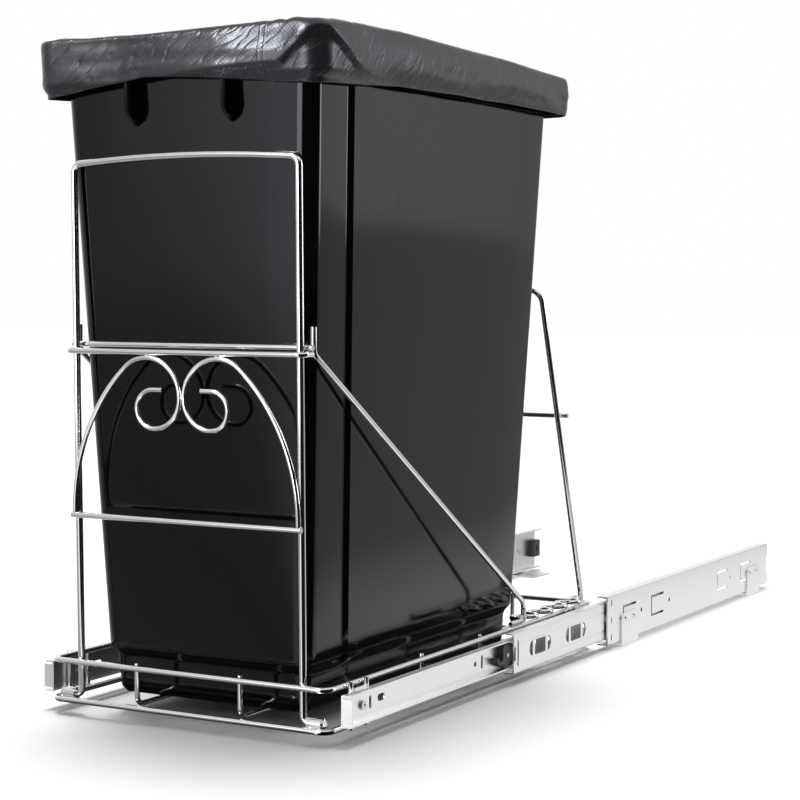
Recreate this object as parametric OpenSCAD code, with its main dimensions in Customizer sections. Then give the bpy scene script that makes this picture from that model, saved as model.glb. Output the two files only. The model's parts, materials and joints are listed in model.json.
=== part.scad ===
// Pull-out bin frame: a chrome wire basket on two ball-bearing slides, with a front hoop, a brace,
// a rear hoop, and the lined waste bin that it carries.
// X runs to the right, Y to the back of the cabinet, Z up. The origin lies on the cabinet floor,
// midway between the four feet. The basket is drawn pulled out.

/* [Slides] */
// Width over the two fixed rails
unit_w = 288; // [276:1:320]
// Length of a fixed outer rail
rail_len = 450; // [420:5:500]
// Height of an outer rail
rail_h = 45; // [44:0.5:48]
// Height of a middle rail
mid_h = 34; // [33:0.5:35]
// Height of an inner rail
inner_h = 24; // [22:0.5:25]
// Thickness of one closed slide
slide_t = 12.7; // [12.5:0.1:14]
// Sheet thickness of the rails
sheet = 1.2; // [1:0.1:1.4]
// Length of an inner rail
inner_len = 450; // [430:5:460]
// Travel of the basket
travel = 450; // [400:5:460]
// How far the inner rails stand out of the closed slides
overhang = 3.5; // [2:0.5:12]
// Setback of a closed middle rail from the front of the outer rail
mid_front_gap = 34; // [20:1:40]
// Setback of a closed middle rail from the back of the outer rail
mid_rear_gap = 20; // [20:1:40]
// Length of an outer ball cage
outer_cage_len = 180; // [150:5:185]
// Length of an inner ball cage
inner_cage_len = 160; // [130:5:165]
// Balls in one row of a cage
ball_count = 6; // [4:1:8]

/* [Feet] */
// Height of the outer rails above the cabinet floor
rail_lift = 4; // [3.5:0.5:6]
// Width of a foot plate along the rail
foot_w = 40; // [36:1:50]
// Height of a foot plate
foot_h = 30; // [28:1:36]
// Sheet thickness of a foot
foot_t = 1.6; // [1.2:0.1:2]
// Reach of a foot's flange under and inside the rail
foot_reach = 34; // [30:1:40]
// Distance of a foot's middle from the end of its rail
foot_end = 50; // [44:1:60]
// Distance between the two screw holes of a foot
foot_hole_pitch = 20; // [16:1:24]
// Diameter of a floor screw hole
foot_hole_d = 5.2; // [4:0.1:6]
// Distance of the floor screw holes from the outside of the rail
foot_hole_in = 24; // [20:1:26]

/* [Basket] */
// Length of the basket over the rim centrelines
basket_len = 466; // [456:1:480]
// How far the basket's front stands before the inner rails
basket_lead = 8.5; // [6:0.5:12]
// Height of the lower rim's centreline above the floor
low_rim_z = 11.7; // [11:0.1:14]
// Height of the upper rim's centreline above the floor
top_rim_z = 42.1; // [42:0.1:46]
// Diameter of the rim wires
rim_d = 4.5; // [4:0.1:5]
// Diameter of the floor wires
floor_d = 4; // [3.5:0.1:4.5]
// Diameter of the posts that carry the inner rails
post_d = 4; // [3.5:0.1:4.5]
// Corner radius of the rims at their centreline
rim_r = 8; // [7:0.5:12]
// Distance between the two lengthwise floor wires
long_pitch = 94; // [80:1:120]
// Pitch of the pockets in a side rack
pocket_pitch = 30.5; // [30:0.5:32]
// Distance of the last rack crest from the rear rim
rack_rear = 25.6; // [25.4:0.1:28]

/* [Front hoop] */
// Diameter of the hoop wire
hoop_d = 5.5; // [5:0.1:6]
// Distance between the hoop's uprights
hoop_w = 202; // [190:1:206]
// Drop from the bin's hook ribs to the hoop's top corners
hoop_drop = 26; // [16:1:40]
// Forward lean of the hoop in degrees
hoop_lean = 0.8; // [0.2:0.1:1]
// Rise of the hoop's arched top
hoop_rise = 3.5; // [2:0.5:8]
// Height of the peg bar above the floor
peg_bar_z = 282.5; // [270:0.5:295]
// Height of the lower bar above the floor
low_bar_z = 156.5; // [145:0.5:165]
// Diameter of the hoop's bars and of the brace
bar_d = 4.5; // [4:0.1:5]
// Diameter of the scroll wire
scroll_d = 3.8; // [3.4:0.1:4.2]
// Radius of a scroll's brow
brow_r = 30; // [26:0.5:34]
// Radius of a scroll's curl
curl_r = 23; // [20:0.5:24]
// Radius of a scroll's tip
tip_r = 14.5; // [12:0.5:16]
// Outer diameter of a hinge sleeve
sleeve_d = 9.6; // [9:0.1:11]

/* [Brace] */
// Height of the stubs above the brace bar
stub_h = 15; // [10:1:20]
// Height of the brace's lower bends above the floor
brace_bend_z = 60; // [56:1:70]
// Distance between the brace's two diagonals at the top
brace_w = 212; // [210:1:216]

/* [Rear hoop] */
// Height of the rear hoop above the floor
rear_top = 330; // [300:1:340]
// Height of the rear hoop's crossbar
rear_bar_z = 217; // [200:1:240]
// Distance between the rear hoop's legs at the top
rear_w = 213; // [200:1:220]
// Diameter of the rear hoop wire
rear_d = 5; // [4.5:0.1:5.2]

/* [Bin] */
// Width of the bin's wall at the step above its base
bin_w_low = 186; // [176:1:192]
// Width of the bin's wall under its rim
bin_w_top = 227; // [214:1:228]
// Depth of the bin's wall at the step above its base
bin_l_low = 350; // [336:1:352]
// Depth of the bin's wall under its rim
bin_l_top = 398; // [384:1:399]
// Height of the bin
bin_h = 499; // [470:1:505]
// Height of the recessed base
base_h = 30; // [24:1:36]
// How far the base is set in
base_in = 5; // [3:0.5:7]
// Wall thickness of the bin
bin_wall = 2.4; // [2:0.1:3]
// How far the rim stands out from the wall
rim_out = 12; // [10:0.5:17]
// Depth of the rim's skirt
skirt_h = 30; // [22:1:36]
// Corner radius of the bin
bin_r = 13; // [10:0.5:16]
// Corner radius of the bin's rim
rim_corner = 14; // [12:0.5:24]
// Depth of the upright groove in each side of the bin
groove_in = 4; // [2:0.5:5]
// Width of the upright groove
groove_w = 11.5; // [8:0.5:14]
// Drop of the hook ribs below the rim's skirt
hook_h = 35; // [28:1:40]
// Thickness of the liner's stand-in skin
liner_t = 0.8; // [0.6:0.1:1.6]

/* [Hidden] */
$fn = 48;

// Shared clearances
seat_gap = 0.3;
weld_gap = 0.05;
run_gap = 0.08;
eps = 0.01;
seam = 0.03;
seam_reach = 0.3;

// Slide section: u is the depth in from the outside of the rail, v the height from its middle
half_w = unit_w / 2;
slide_z = rail_lift + rail_h / 2;
flange_u = slide_t - 2.3;
cage_t = 0.8;
web_gap = cage_t + 2 * seat_gap;
mid_u = sheet + web_gap;
mid_inside_u = mid_u + sheet;
outer_tie_u = sheet + seat_gap;
inner_tie_u = mid_inside_u + seat_gap;
inner_tip_u = inner_tie_u + cage_t + 0.5;
inner_web_u = slide_t - sheet;
press_v = 8.5;
press_w = 1.2;
press_t = 0.4;
ball_bite = 0.25;
outer_gap = rail_h / 2 - sheet - mid_h / 2;
inner_gap = mid_h / 2 - sheet - inner_h / 2;
outer_ball_r = outer_gap / 2 + ball_bite;
inner_ball_r = inner_gap / 2 + ball_bite;
outer_ball_v = mid_h / 2 + outer_gap / 2;
inner_ball_v = inner_h / 2 + inner_gap / 2;
outer_ball_u = (mid_u + flange_u) / 2;
inner_ball_u = (inner_tip_u + flange_u) / 2 + seat_gap;

// Places along Y, with the basket pulled out
rail_front = -rail_len / 2;
foot_pitch = rail_len - 2 * foot_end;
inner_front = rail_front - overhang - travel;
mid_len = rail_len - mid_front_gap - mid_rear_gap;
mid_front = rail_front + mid_front_gap - travel / 2;
outer_cage_front = (rail_front + mid_front + mid_len - outer_cage_len) / 2;
inner_cage_front = (mid_front + inner_front + inner_len - inner_cage_len) / 2;

// Wire basket
post_x = half_w - slide_t - seat_gap - post_d / 2;
rim_x = post_x - post_d / 2 - weld_gap - rim_d / 2;
basket_front = inner_front - basket_lead;
basket_rear = basket_front + basket_len;
post_in = rim_d / 2 + floor_d / 2 + weld_gap;
long_z = low_rim_z + floor_d / 2;
cross_z = long_z - floor_d - weld_gap;
post_tip = 3.5;
wire_bend = 7;
post_over = rim_d / 2;
tab_front = 28.2;
tab_rear = 400;
tab_post = 11.2;
tab_w = 2 * (tab_post - post_d / 2 - weld_gap);
cross_pitch = 100;
cross_first = 148;
cross_count = 3;
cross_y = [for (i = [0:cross_count - 1]) basket_front + cross_first + i * cross_pitch];

// Side racks: half circles that swing in from the rim's top
rack_r = pocket_pitch / 4;
rack_x = rim_x - rack_r;
rack_z = top_rim_z + rim_d / 2 + floor_d / 2 + weld_gap;
rack_last = basket_rear - rack_rear;
rack_pockets = 4;
rack_first = rack_last - rack_pockets * pocket_pitch;
rack_lead = 20;

// Front hoop and brace
hoop_x = hoop_w / 2;
hoop_y = basket_front + rim_d / 2 + hoop_d / 2 + seat_gap + (top_rim_z - low_rim_z) * tan(hoop_lean);
sleeve_in = hoop_x + 5;
sleeve_out = hoop_x + 17;
pin_end = hoop_x + 19;
corner_x = rim_x - rim_r;
corner_y = basket_front + rim_r;
sleeve_dy = hoop_y - corner_y + sqrt(pow(rim_r, 2) - pow(max(sleeve_out - corner_x, 0), 2));
sleeve_z = low_rim_z + sqrt(pow(rim_d / 2 + sleeve_d / 2 + weld_gap, 2) - pow(sleeve_dy, 2));
wrap_r = hoop_d / 2 + bar_d / 2 + weld_gap;
bar_y = hoop_y - wrap_r;
scroll_y = hoop_y - hoop_d / 2 - scroll_d / 2 - weld_gap;
peg_x = hoop_x + wrap_r;
brace_bar_z = peg_bar_z + bar_d + seat_gap;
brace_play = 0.4;
brace_bar_y = hoop_y - lean_at(brace_bar_z) + hoop_d / 2 + bar_d / 2 + brace_play;
brace_y = brace_bar_y + bar_d + weld_gap;
brace_x = brace_w / 2;
knee_z = brace_bar_z - 4.5;
peg_rear = brace_y - bar_d / 2 - seat_gap + lean_at(peg_bar_z);
pin_x = rim_x - rim_d / 2 - bar_d / 2 - seat_gap;
brace_pin_y = rack_first + pocket_pitch / 2;
pin_tip_z = top_rim_z - 8;

// Bin, tapered from the step above its base to the rim
bin_z = long_z + floor_d / 2 + seat_gap;
bin_set = 198.2;
bin_y = basket_front + bin_set;
step_h = 6;
step_z = bin_z + base_h + step_h;
bin_top = bin_z + bin_h;
skirt_z = bin_top - skirt_h;
hoop_top = skirt_z - hook_h - hoop_drop;
groove_back = 53.3;
function bin_share(z) = (z - step_z) / (bin_top - step_z);
function bin_w(z) = bin_w_low + (bin_w_top - bin_w_low) * bin_share(z);
function bin_l(z) = bin_l_low + (bin_l_top - bin_l_low) * bin_share(z);

// Rear hoop, leaning to the back of the bin
rear_pin_x = pin_x - 0.75;
rear_pin_y = rack_last + pocket_pitch / 2;
rear_gap = 2.6;
rear_lean_y = bin_y + bin_l(rear_top) / 2 + rear_gap + rear_d / 2;
rear_foot_rise = 12;
rear_foot_z = top_rim_z + rear_foot_rise;
rear_share = (rear_bar_z - rear_foot_z) / (rear_top - rear_foot_z);
rear_bar_y = rear_pin_y + (rear_lean_y - rear_pin_y) * rear_share + rear_d / 2 + bar_d / 2 + 0.6;
rear_bar_x = rear_pin_x + (rear_w / 2 - rear_pin_x) * rear_share + 8;

// Levers and fixings
lever_set = 258;
lever_y = inner_front + lever_set;
lever_pin_r = 1.5;
lever_u = inner_tip_u + 0.3;
screw_r = 2;
rivet_r = 1.9;

// How far the leaning hoop stands forward at height z, and the tilt about its hinge pins
function lean_at(z) = (z - sleeve_z) * tan(hoop_lean);
module lean() {
    translate([0, hoop_y, sleeve_z])
        rotate([hoop_lean, 0, 0])
            translate([0, -hoop_y, -sleeve_z])
                children();
}

// Unit vector, and a vector square to it
function unit(a) = a / norm(a);
function square_to(a) = unit(cross(a, abs(a[2]) < 0.9 ? [0, 0, 1] : [1, 0, 0]));

// Puts children in a frame given by its three axes and its origin
module in_frame(ex, ey, ez, o) {
    multmatrix([[ex[0], ey[0], ez[0], o[0]], [ex[1], ey[1], ez[1], o[1]], [ex[2], ey[2], ez[2], o[2]]])
        children();
}

// Straight round rod between two points
module rod(a, b, d) {
    ez = unit(b - a);
    ex = square_to(ez);
    in_frame(ex, cross(ez, ex), ez, a)
        cylinder(d = d, h = norm(b - a));
}

// Round wire through points, with a bend of radius r[i] at each inner point.
// With a swell, the bends are that much thicker and the straight runs reach a little into them.
module wire(p, d, r, swell = 0) {
    last = len(p) - 1;
    reach = swell > 0 ? seam_reach : 0;
    dirs = [for (i = [0:last - 1]) unit(p[i + 1] - p[i])];
    turn = [for (i = [0:last]) i == 0 || i == last ? 0 : acos(dirs[i - 1] * dirs[i])];
    cut = [for (i = [0:last]) i == 0 || i == last ? 0 : r[i - 1] * tan(turn[i] / 2)];
    trim = [for (i = [0:last]) i == 0 || i == last ? 0 : cut[i] - reach];
    for (i = [0:last - 1])
        rod(p[i] + dirs[i] * trim[i], p[i + 1] - dirs[i] * trim[i + 1], d);
    for (i = [1:last - 1]) {
        a = dirs[i - 1];
        n = unit(dirs[i] - a * (a * dirs[i]));
        in_frame(-n, a, cross(-n, a), p[i] - a * cut[i] + n * r[i - 1])
            rotate_extrude(angle = turn[i])
                translate([r[i - 1], 0])
                    circle(d = d + 2 * swell);
    }
}

// Part of a ring in the XY plane, from angle a0 over sweep
module ring_arc(r, d, a0, sweep) {
    rotate([0, 0, a0])
        rotate_extrude(angle = sweep)
            translate([r, 0])
                circle(d = d);
}

// Closed rectangular wire loop with round corners, about the basket's middle
module rim_loop(z) {
    hx = rim_x;
    hy = basket_len / 2;
    translate([0, basket_front + hy, z]) {
        for (s = [-1, 1]) {
            rod([s * hx, -hy + rim_r, 0], [s * hx, hy - rim_r, 0], rim_d);
            rod([-hx + rim_r, s * hy, 0], [hx - rim_r, s * hy, 0], rim_d);
        }
        for (c = [[1, 1, 0], [-1, 1, 90], [-1, -1, 180], [1, -1, 270]])
            translate([c[0] * (hx - rim_r), c[1] * (hy - rim_r), 0])
                ring_arc(rim_r, rim_d, c[2], 90);
    }
}

// Mirrors a right-hand piece to the left side
module on_side(s) {
    mirror([s < 0 ? 1 : 0, 0, 0])
        children();
}

// Right-hand slide frame: children drawn as (u, v) profile run along Y over length l from y
module run_y(y, l) {
    translate([half_w, y + l, slide_z])
        rotate([90, 0, 0])
            linear_extrude(height = l)
                mirror([1, 0])
                    children();
}

// Block in slide coordinates of the right-hand slide
module slide_block(u0, u1, y0, y1, v0, v1) {
    translate([half_w - u1, y0, slide_z + v0])
        cube([u1 - u0, y1 - y0, v1 - v0]);
}

// Round hole through a rail's web, square to it
module web_hole(y, v, r) {
    translate([half_w - slide_t - 3, y, slide_z + v])
        rotate([0, 90, 0])
            cylinder(r = r, h = slide_t + 4);
}

// Slot with round ends along Y or Z through a rail's web
module web_slot(y, v, w, l, upright) {
    s = (l - w) / 2;
    for (k = [-1, 1])
        web_hole(y + (upright ? 0 : k * s), v + (upright ? k * s : 0), w / 2);
    if (upright)
        slide_block(-1, slide_t + 1, y - w / 2, y + w / 2, v - s, v + s);
    else
        slide_block(-1, slide_t + 1, y - s, y + s, v - w / 2, v + w / 2);
}

// Slit round three sides of a mounting tab, open to the back
module tab_slit(y, l) {
    h = 9;
    w = 2.2;
    slide_block(-1, sheet + 1, y, y + w, -h, h);
    for (k = [-1, 1])
        slide_block(-1, sheet + 1, y, y + l, k * h - w / 2, k * h + w / 2);
}

// Channel profile: web from u0, flanges out to u1 on height h
module channel(u0, u1, h) {
    r = sheet;
    difference() {
        union() {
            translate([u0 + r, -h / 2])
                square([u1 - u0 - r, h]);
            translate([u0, -h / 2 + r])
                square([r + eps, h - 2 * r]);
            for (k = [-1, 1])
                translate([u0 + r, k * (h / 2 - r)])
                    circle(r = r);
        }
        translate([u0 + sheet, -h / 2 + sheet])
            square([u1 - u0, h - 2 * sheet]);
    }
}

// Ball grooves of a profile
module grooves(u, v, r) {
    for (k = [-1, 1])
        translate([u, k * v])
            circle(r = r + run_gap);
}

module outer_rail(s) {
    color("gainsboro")
        on_side(s)
            difference() {
                run_y(rail_front, rail_len)
                    difference() {
                        channel(0, flange_u, rail_h);
                        grooves(outer_ball_u, outer_ball_v, outer_ball_r);
                    }
                for (y = [36, 106, 289, 361])
                    tab_slit(rail_front + y, 32);
                for (y = [81, 153, 329, 404])
                    web_hole(rail_front + y, 0, 2);
                for (v = [-16, 0, 16])
                    web_slot(rail_front + 9, v, 2, 6, true);
                slide_block(-1, sheet + 1, -rail_front - 3.5, -rail_front + 1, -9, 8);
                foot_rivet_holes();
            }
}

module outer_rail_left() outer_rail(-1);
module outer_rail_right() outer_rail(1);

// Rivet places on one side: along Y and above the rail's middle
function rivet_places() = [for (f = [-1, 1]) for (k = [-1, 1]) [f * foot_pitch / 2 + k * foot_w / 4, -2]];

module foot_rivet_holes() {
    for (p = rivet_places())
        translate([half_w - sheet - 1, p[0], slide_z + p[1]])
            rotate([0, 90, 0])
                cylinder(r = rivet_r + run_gap, h = sheet + foot_t + 2);
}

module foot(s, y) {
    r = 6;
    color("whitesmoke")
        on_side(s)
            difference() {
                union() {
                    translate([half_w, y - foot_w / 2, 0])
                        cube([foot_t, foot_w, foot_h - r]);
                    translate([half_w, y - foot_w / 2 + r, foot_h - r - eps])
                        cube([foot_t, foot_w - 2 * r, r + eps]);
                    for (k = [-1, 1])
                        translate([half_w, y + k * (foot_w / 2 - r), foot_h - r])
                            rotate([0, 90, 0])
                                cylinder(r = r, h = foot_t);
                    translate([half_w - foot_reach, y - foot_w / 2, 0])
                        cube([foot_reach + foot_t, foot_w, foot_t]);
                }
                for (k = [-1, 1])
                    translate([half_w - foot_hole_in, y + k * foot_hole_pitch / 2, -1])
                        cylinder(d = foot_hole_d, h = foot_t + 2);
                foot_rivet_holes();
            }
}

module front_foot_left() foot(-1, -foot_pitch / 2);
module front_foot_right() foot(1, -foot_pitch / 2);
module rear_foot_left() foot(-1, foot_pitch / 2);
module rear_foot_right() foot(1, foot_pitch / 2);

module foot_rivets() {
    head_r = 3.4;
    head_h = 1.4;
    cap_r = (head_r * head_r + head_h * head_h) / (2 * head_h);
    color("silver")
        for (s = [-1, 1], p = rivet_places())
            on_side(s)
                translate([half_w, p[0], slide_z + p[1]])
                    rotate([0, 90, 0]) {
                        translate([0, 0, -sheet])
                            cylinder(r = rivet_r, h = sheet + foot_t);
                        intersection() {
                            translate([0, 0, foot_t])
                                cylinder(r = head_r, h = head_h);
                            translate([0, 0, foot_t + head_h - cap_r])
                                sphere(r = cap_r);
                        }
                    }
}

// Rubber stop in the back end of an outer rail
module rear_bumper(s) {
    r = 3;
    l = mid_rear_gap - 4;
    color("dimgray")
        on_side(s)
            difference() {
                slide_block(sheet, flange_u - 1.5, -rail_front - l - 2, -rail_front - 2, -9.5, 9.5);
                web_slot(-rail_front - l / 2 - 2, 0, 3, 8, true);
                translate([half_w - flange_u + 1.5, -rail_front - l - 2, slide_z])
                    rotate([0, 0, 45])
                        cube([r, r, 20], center = true);
            }
}

module rear_bumper_left() rear_bumper(-1);
module rear_bumper_right() rear_bumper(1);

module middle_rail(s) {
    color("gainsboro")
        on_side(s)
            difference() {
                run_y(mid_front, mid_len)
                    difference() {
                        channel(mid_u, flange_u, mid_h);
                        grooves(outer_ball_u, outer_ball_v, outer_ball_r);
                        grooves(inner_ball_u, inner_ball_v, inner_ball_r);
                        for (k = [-1, 1])
                            translate([mid_u, k * press_v])
                                square([2 * press_t, press_w], center = true);
                    }
                for (y = [30, 104])
                    middle_window(mid_front + y);
                for (y = [210, 290, mid_len - 28])
                    web_slot(mid_front + y, 0, 6, 18, false);
                web_slot(mid_front + 8, 0, 2.4, 22, true);
                slide_block(mid_u - eps, mid_inside_u + eps, mid_front - 1, mid_front + 3.5, -6, 6);
            }
}

// Long window with round ends, crossed by two bars
module middle_window(y) {
    h = 13;
    l = 43;
    bar = 4.5;
    difference() {
        web_slot(y + l / 2, 0, h, l, false);
        slide_block(0, slide_t, y + 6.5, y + 6.5 + bar, -h, h);
        slide_block(0, slide_t, y + l - 6.5 - bar, y + l - 6.5, -h, h);
    }
}

module middle_rail_left() middle_rail(-1);
module middle_rail_right() middle_rail(1);

// Ball places along a cage
function ball_y(front, l) = [for (i = [0:ball_count - 1]) front + l * (i + 0.5) / ball_count];

// Cage of two ball strips, tied at both ends across the web
module cage(front, l, u0, u1, ball_u, v, r) {
    tie = 9;
    difference() {
        union() {
            for (k = [-1, 1])
                slide_block(u0, u1, front, front + l, k * v - cage_t / 2, k * v + cage_t / 2);
            for (y = [front, front + l - tie])
                slide_block(u0, u0 + cage_t, y, y + tie, -v - cage_t / 2, v + cage_t / 2);
        }
        for (y = ball_y(front, l))
            translate([half_w - ball_u, y, slide_z - v - 1])
                cylinder(r = r + run_gap, h = 2 * v + 2);
    }
}

module outer_cage(s) {
    color("slategray")
        on_side(s)
            cage(outer_cage_front, outer_cage_len, outer_tie_u, flange_u - 0.6,
                outer_ball_u, outer_ball_v, outer_ball_r);
}

module outer_cage_left() outer_cage(-1);
module outer_cage_right() outer_cage(1);

module inner_cage(s) {
    color("slategray")
        on_side(s)
            cage(inner_cage_front, inner_cage_len, inner_tie_u, flange_u,
                inner_ball_u, inner_ball_v, inner_ball_r);
}

module inner_cage_left() inner_cage(-1);
module inner_cage_right() inner_cage(1);

module balls(s, front, l, u, v, r) {
    color("lightsteelblue")
        on_side(s)
            for (y = ball_y(front, l), k = [-1, 1])
                translate([half_w - u, y, slide_z + k * v])
                    sphere(r = r);
}

module outer_balls_left() balls(-1, outer_cage_front, outer_cage_len, outer_ball_u, outer_ball_v, outer_ball_r);
module outer_balls_right() balls(1, outer_cage_front, outer_cage_len, outer_ball_u, outer_ball_v, outer_ball_r);
module inner_balls_left() balls(-1, inner_cage_front, inner_cage_len, inner_ball_u, inner_ball_v, inner_ball_r);
module inner_balls_right() balls(1, inner_cage_front, inner_cage_len, inner_ball_u, inner_ball_v, inner_ball_r);

// Inner rail: a channel open to the outside, with a bent front tab
module inner_rail(s) {
    color("gainsboro")
        on_side(s)
            difference() {
                union() {
                    run_y(inner_front, inner_len)
                        difference() {
                            translate([slide_t, 0])
                                mirror([1, 0])
                                    channel(0, slide_t - inner_tip_u, inner_h);
                            grooves(inner_ball_u, inner_ball_v, inner_ball_r);
                        }
                    slide_block(inner_tip_u - 2, slide_t - sheet + eps, inner_front, inner_front + sheet,
                        -inner_h / 2 + 3, inner_h / 2 - 3);
                }
                for (y = [tab_front, tab_rear])
                    web_hole(inner_front + y, 0, screw_r + run_gap);
                web_slot(inner_front + 39.5, 0, 3.4, 10, true);
                web_slot(inner_front + 55.5, 1, 5.5, 10.5, false);
                web_hole(inner_front + 209, 0, 2.2);
                web_slot(inner_front + 221, 0, 3.4, 11, true);
                web_hole(lever_y, 0, lever_pin_r + run_gap);
                for (y = [320, 350, 430])
                    web_slot(inner_front + y, 0, 5, 14, false);
            }
}

module inner_rail_left() inner_rail(-1);
module inner_rail_right() inner_rail(1);

// Black plastic lever that lets the inner rail off the middle rail: a block with a curled thumb tail
module release_lever(s) {
    block_l = 18;
    block_h = inner_h - 2 * sheet - 3;
    tail_r = 7;
    tail_w = 3;
    r = 3;
    depth = inner_web_u - lever_u - seat_gap;
    color([0.08, 0.08, 0.09])
        on_side(s)
            translate([half_w - lever_u, lever_y, slide_z])
                rotate([90, 0, -90])
                    linear_extrude(height = depth)
                        difference() {
                            union() {
                                square([block_l - 2 * r, block_h], center = true);
                                square([block_l, block_h - 2 * r], center = true);
                                for (a = [-1, 1], b = [-1, 1])
                                    translate([a * (block_l / 2 - r), b * (block_h / 2 - r)])
                                        circle(r = r);
                                translate([block_l / 2 + tail_r - r, 0])
                                    difference() {
                                        circle(r = tail_r);
                                        circle(r = tail_r - tail_w);
                                        translate([-2 * tail_r, 0])
                                            square([4 * tail_r, 2 * tail_r]);
                                    }
                            }
                            circle(r = lever_pin_r + run_gap);
                        }
}

module release_lever_left() release_lever(-1);
module release_lever_right() release_lever(1);

module lever_pins() {
    head_r = 3;
    head_h = 0.8;
    color("silver")
        for (s = [-1, 1])
            on_side(s)
                translate([half_w - slide_t, lever_y, slide_z])
                    rotate([0, 90, 0]) {
                        cylinder(r = lever_pin_r, h = slide_t - lever_u);
                        translate([0, 0, -head_h])
                            cylinder(r = head_r, h = head_h);
                    }
}

module top_rim() {
    color("silver")
        rim_loop(top_rim_z);
}

module bottom_rim() {
    color("silver")
        rim_loop(low_rim_z);
}

// Lengthwise floor wire, turned up behind both ends of the rims
module floor_wire(s) {
    x = s * long_pitch / 2;
    y0 = basket_front + post_in;
    y1 = basket_rear - post_in;
    tip = top_rim_z + post_tip;
    color("silver")
        wire([[x, y0, tip], [x, y0, long_z], [x, y1, long_z], [x, y1, tip]], floor_d, [wire_bend, wire_bend]);
}

module floor_wire_left() floor_wire(-1);
module floor_wire_right() floor_wire(1);

// Crosswise wires, turned up inside the rims; under the racks their tips stay low
module cross_wires() {
    x = rim_x - post_in;
    color("silver")
        for (y = cross_y) {
            tip = y > rack_first - rack_lead - floor_d ? top_rim_z : top_rim_z + post_tip;
            wire([[-x, y, tip], [-x, y, cross_z], [x, y, cross_z], [x, y, tip]], floor_d, [wire_bend, wire_bend]);
        }
}

// Posts outside the rims, in pairs either side of each plate that carries an inner rail
module slide_posts(s) {
    color("silver")
        on_side(s)
            for (t = [tab_front, tab_rear], k = [-1, 1])
                translate([post_x, inner_front + t + k * tab_post, low_rim_z - post_over])
                    cylinder(d = post_d, h = top_rim_z - low_rim_z + 2 * post_over);
}

module slide_posts_left() slide_posts(-1);
module slide_posts_right() slide_posts(1);

// Wavy wire on the rim: crests on the rim's top, loops that swing in as pockets
module pocket_rack(s) {
    color("silver")
        on_side(s)
            translate([rack_x, 0, rack_z]) {
                rod([rack_r, rack_first - rack_lead, 0], [rack_r, rack_first, 0], floor_d);
                translate([0, rack_first, 0])
                    ring_arc(rack_r, floor_d, 0, 90);
                for (i = [0:rack_pockets - 1])
                    translate([0, rack_first + (i + 0.5) * pocket_pitch, 0])
                        ring_arc(rack_r, floor_d, 90, 180);
                for (i = [1:rack_pockets])
                    translate([0, rack_first + i * pocket_pitch, 0])
                        ring_arc(rack_r, floor_d, -90, 180);
                translate([0, rack_last + pocket_pitch / 2, 0])
                    ring_arc(rack_r, floor_d, 180, 90);
                rod([-rack_r, rack_last + pocket_pitch / 2, 0], [-rack_r, basket_rear, 0], floor_d);
            }
}

module pocket_rack_left() pocket_rack(-1);
module pocket_rack_right() pocket_rack(1);

module hinge_sleeve(s) {
    color("silver")
        on_side(s)
            translate([sleeve_in, hoop_y, sleeve_z])
                rotate([0, 90, 0])
                    difference() {
                        cylinder(d = sleeve_d, h = sleeve_out - sleeve_in);
                        translate([0, 0, -1])
                            cylinder(d = hoop_d + 2 * run_gap, h = sleeve_out - sleeve_in + 2);
                    }
}

module hinge_sleeve_left() hinge_sleeve(-1);
module hinge_sleeve_right() hinge_sleeve(1);

// Plates between the posts that the inner rails are screwed to
module slide_tabs() {
    t = 1.5;
    z0 = low_rim_z + rim_d / 2 + weld_gap;
    z1 = top_rim_z - rim_d / 2 - weld_gap;
    color("lightgray")
        for (s = [-1, 1], y = [tab_front, tab_rear])
            on_side(s)
                difference() {
                    translate([half_w - slide_t - t, inner_front + y - tab_w / 2, z0])
                        cube([t, tab_w, z1 - z0]);
                    web_hole(inner_front + y, 0, screw_r + run_gap);
                }
}

module slide_screws() {
    head_r = 3.8;
    head_h = 1.8;
    color("silver")
        for (s = [-1, 1], y = [tab_front, tab_rear])
            on_side(s)
                translate([half_w - inner_web_u, inner_front + y, slide_z])
                    rotate([0, 90, 0]) {
                        translate([0, 0, -sheet - 3])
                            cylinder(r = screw_r, h = sheet + 3);
                        difference() {
                            cylinder(r = head_r, h = head_h);
                            for (a = [0, 90])
                                rotate([0, 0, a])
                                    translate([0, 0, head_h])
                                        cube([head_r, 0.9, 1.6], center = true);
                        }
                    }
}

// Inverted U with an arched top; its feet turn out as hinge pins
module front_hoop() {
    foot_bend = 5;
    top_bend = 7.5;
    arch_run = hoop_x - 2 * top_bend;
    arch_turn = atan(2 * hoop_rise / hoop_x);
    y = hoop_y;
    color("silver")
        lean()
            wire([[-pin_end, y, sleeve_z], [-hoop_x, y, sleeve_z], [-hoop_x, y, hoop_top],
                    [0, y, hoop_top + 2 * hoop_rise], [hoop_x, y, hoop_top], [hoop_x, y, sleeve_z],
                    [pin_end, y, sleeve_z]],
                hoop_d, [foot_bend, top_bend, arch_run / tan(arch_turn), top_bend, foot_bend], seam);
}

// Bar across the front of the uprights; its ends turn back round them as pegs for the brace
module peg_bar() {
    color("silver")
        lean()
            wire([[-peg_x, peg_rear, peg_bar_z], [-peg_x, bar_y, peg_bar_z], [peg_x, bar_y, peg_bar_z],
                    [peg_x, peg_rear, peg_bar_z]], bar_d, [wrap_r, wrap_r], seam);
}

module lower_bar() {
    reach = hoop_x + hoop_d / 2;
    color("silver")
        lean()
            rod([-reach, bar_y, low_bar_z], [reach, bar_y, low_bar_z], bar_d);
}

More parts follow.
